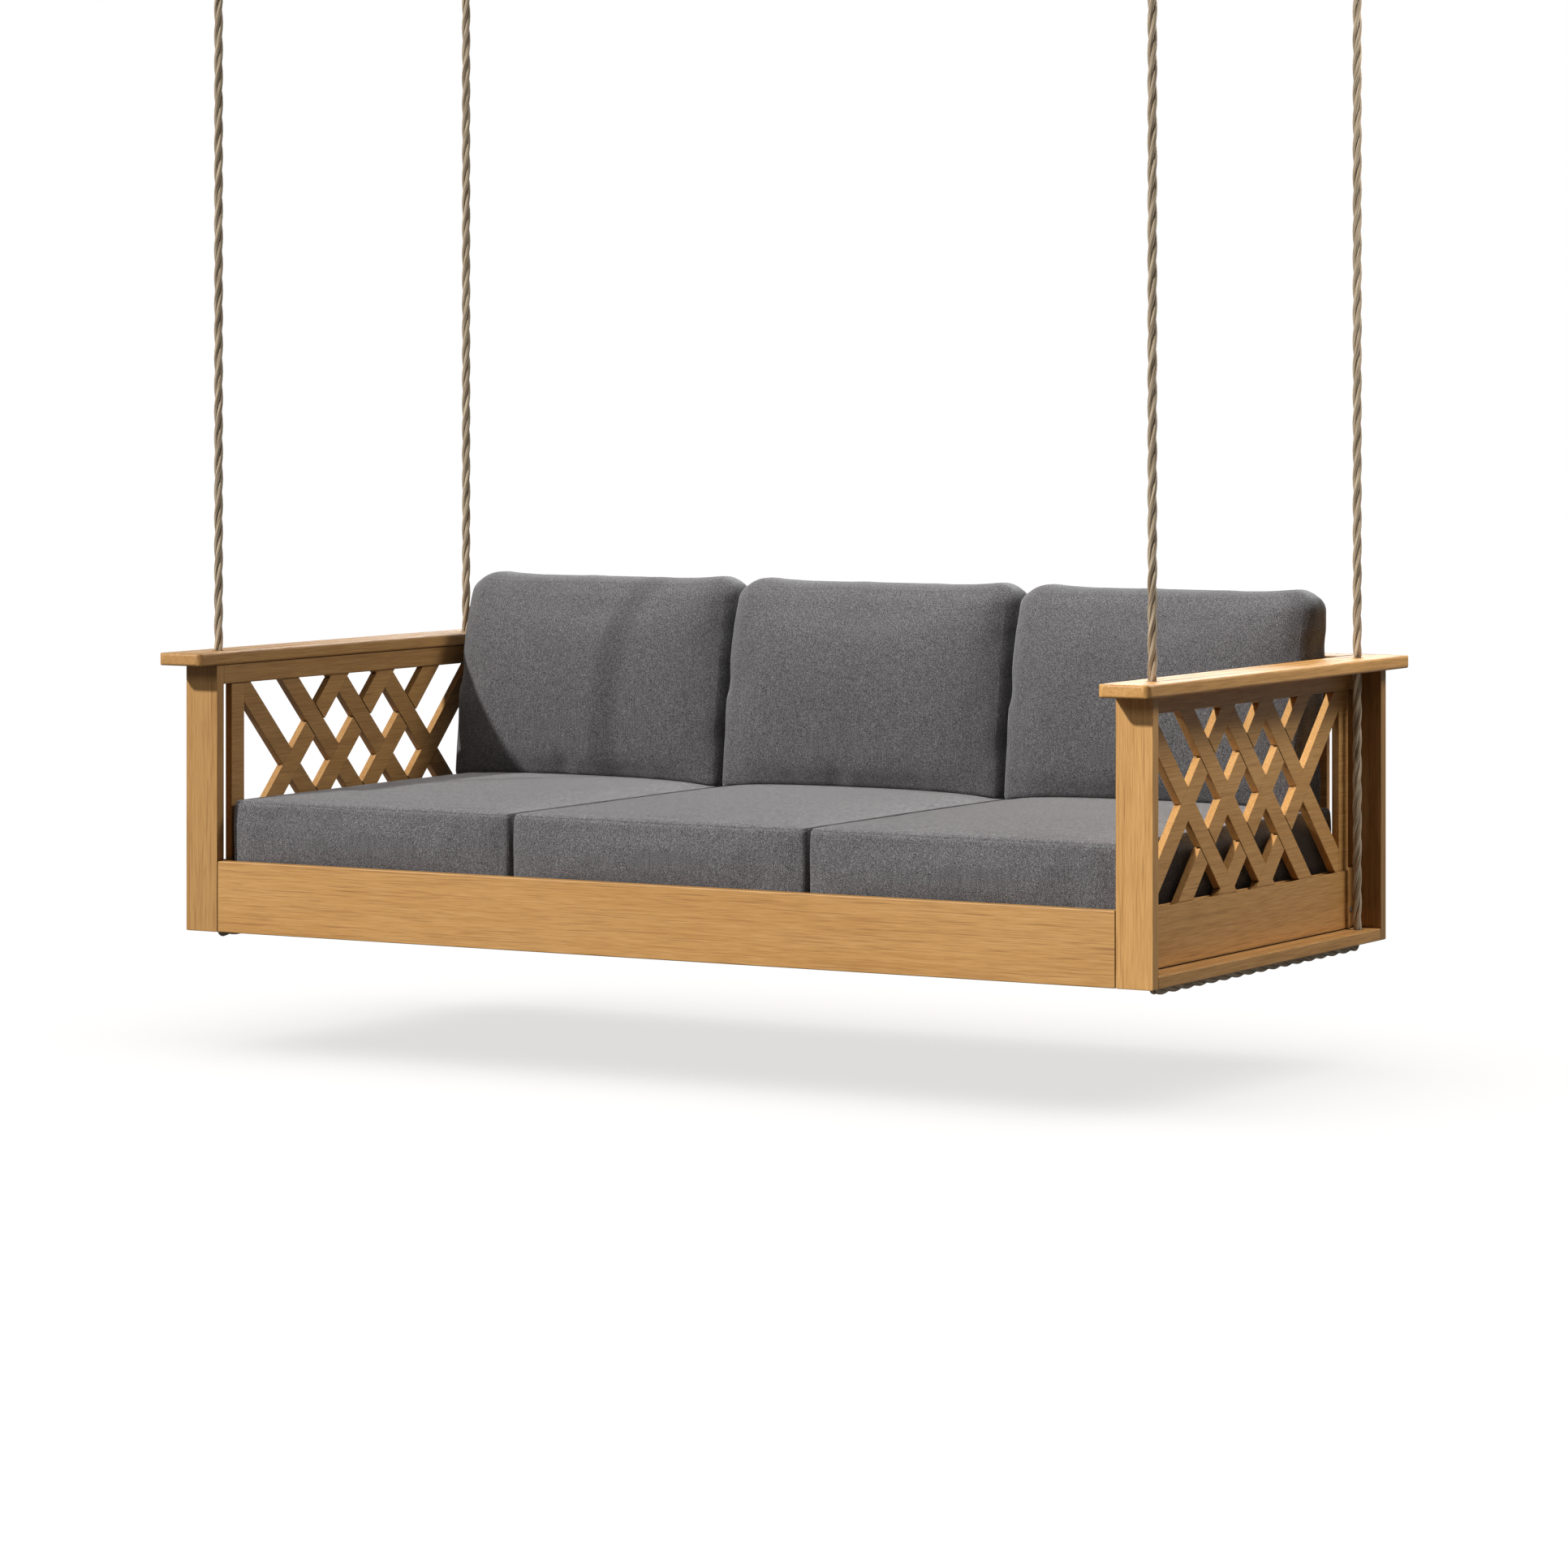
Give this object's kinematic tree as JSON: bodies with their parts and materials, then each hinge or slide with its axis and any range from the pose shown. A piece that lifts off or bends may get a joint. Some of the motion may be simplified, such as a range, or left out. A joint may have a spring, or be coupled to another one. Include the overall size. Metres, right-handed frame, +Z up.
{
  "type": "hanging swing bed",
  "caption": "Hanging swing bed: boarded wooden frame with woven lattice sides, thick seat and back cushions, carried by ropes from ceiling brackets.",
  "frame": {"origin": "centre of the four ceiling brackets, on the ceiling plane", "axes": "+X along the bed to its right end, +Y to its back, +Z up; the bed hangs below the origin"},
  "size_m": [2.0446, 1.0855, 2.0143],
  "materials": {
    "wood": "satin oiled hardwood",
    "fabric": "heathered plain weave",
    "rope": "three-strand laid rope",
    "steel": "brushed",
    "ferrule": "pressed"
  },
  "bodies": {
    "ceiling": {"ceiling_brackets": "steel", "bracket_pins": "steel"},
    "rope_front_right": {"rope_front_right": "rope", "thimble_front_right": "steel", "ferrule_front_right": "ferrule"},
    "rope_front_left": {"rope_front_left": "rope", "thimble_front_left": "steel", "ferrule_front_left": "ferrule"},
    "rope_rear_left": {"rope_rear_left": "rope", "thimble_rear_left": "steel", "ferrule_rear_left": "ferrule"},
    "rope_rear_right": {"rope_rear_right": "rope", "thimble_rear_right": "steel", "ferrule_rear_right": "ferrule"},
    "bed": {"cradle_rope_right": "rope", "cradle_rope_left": "rope", "post_front_right": "wood", "post_front_left": "wood", "post_rear_left": "wood", "post_rear_right": "wood", "front_apron": "wood", "rear_apron": "wood", "ledge_right": "wood", "ledge_left": "wood", "arm_right": "wood", "arm_left": "wood", "back_cap": "wood", "side_top_rail_right": "wood", "side_top_rail_left": "wood", "side_bottom_rail_right": "wood", "side_bottom_rail_left": "wood", "stile_front_right": "wood", "stile_front_left": "wood", "stile_rear_left": "wood", "stile_rear_right": "wood", "rising_slats_right": "wood", "rising_slats_left": "wood", "falling_slats_right": "wood", "falling_slats_left": "wood", "back_top_rail": "wood", "back_stile_right": "wood", "back_stile_left": "wood", "back_rising_slats": "wood", "back_falling_slats": "wood", "corner_blocks": "wood", "corner_screws": "steel", "front_ledger": "wood", "rear_ledger": "wood", "centre_stringer": "wood", "seat_slats": "wood"},
    "seat_cushion_right": {"seat_cushion_right": "fabric"},
    "seat_cushion_middle": {"seat_cushion_middle": "fabric"},
    "seat_cushion_left": {"seat_cushion_left": "fabric"},
    "back_cushion_right": {"back_cushion_right": "fabric"},
    "back_cushion_middle": {"back_cushion_middle": "fabric"},
    "back_cushion_left": {"back_cushion_left": "fabric"}
  },
  "joints": [
    {"name": "swing", "type": "hinge", "parent": "ceiling", "child": "rope_front_right", "pos_m": [0.9695, -0.4215, -0.036], "axis": [1, 0, 0], "range_deg": [-15, 15]},
    {"name": "bed_level", "type": "hinge", "parent": "rope_front_right", "child": "bed", "pos_m": [0.9695, -0.4215, -1.48], "axis": [1, 0, 0], "range_deg": [-15, 15]},
    {"name": "swing_front_left", "type": "hinge", "parent": "ceiling", "child": "rope_front_left", "pos_m": [-0.9695, -0.4215, -0.036], "axis": [1, 0, 0], "range_deg": [-15, 15]},
    {"name": "swing_rear_left", "type": "hinge", "parent": "ceiling", "child": "rope_rear_left", "pos_m": [-0.9695, 0.4215, -0.036], "axis": [1, 0, 0], "range_deg": [-15, 15]},
    {"name": "swing_rear_right", "type": "hinge", "parent": "ceiling", "child": "rope_rear_right", "pos_m": [0.9695, 0.4215, -0.036], "axis": [1, 0, 0], "range_deg": [-15, 15]},
    {"name": "seat_cushion_right_lift", "type": "slide", "parent": "bed", "child": "seat_cushion_right", "axis": [0, 0, 1], "range_m": [0, 0.25]},
    {"name": "back_cushion_right_lift", "type": "slide", "parent": "seat_cushion_right", "child": "back_cushion_right", "axis": [0, 0, 1], "range_m": [0, 0.3]},
    {"name": "seat_cushion_middle_lift", "type": "slide", "parent": "bed", "child": "seat_cushion_middle", "axis": [0, 0, 1], "range_m": [0, 0.25]},
    {"name": "back_cushion_middle_lift", "type": "slide", "parent": "seat_cushion_middle", "child": "back_cushion_middle", "axis": [0, 0, 1], "range_m": [0, 0.3]},
    {"name": "seat_cushion_left_lift", "type": "slide", "parent": "bed", "child": "seat_cushion_left", "axis": [0, 0, 1], "range_m": [0, 0.25]},
    {"name": "back_cushion_left_lift", "type": "slide", "parent": "seat_cushion_left", "child": "back_cushion_left", "axis": [0, 0, 1], "range_m": [0, 0.3]}
  ],
  "couplings": [
    {"joint": "bed_level", "follows": "swing", "ratio": -1},
    {"joint": "swing_front_left", "follows": "swing", "ratio": 1},
    {"joint": "swing_rear_left", "follows": "swing", "ratio": 1},
    {"joint": "swing_rear_right", "follows": "swing", "ratio": 1}
  ]
}
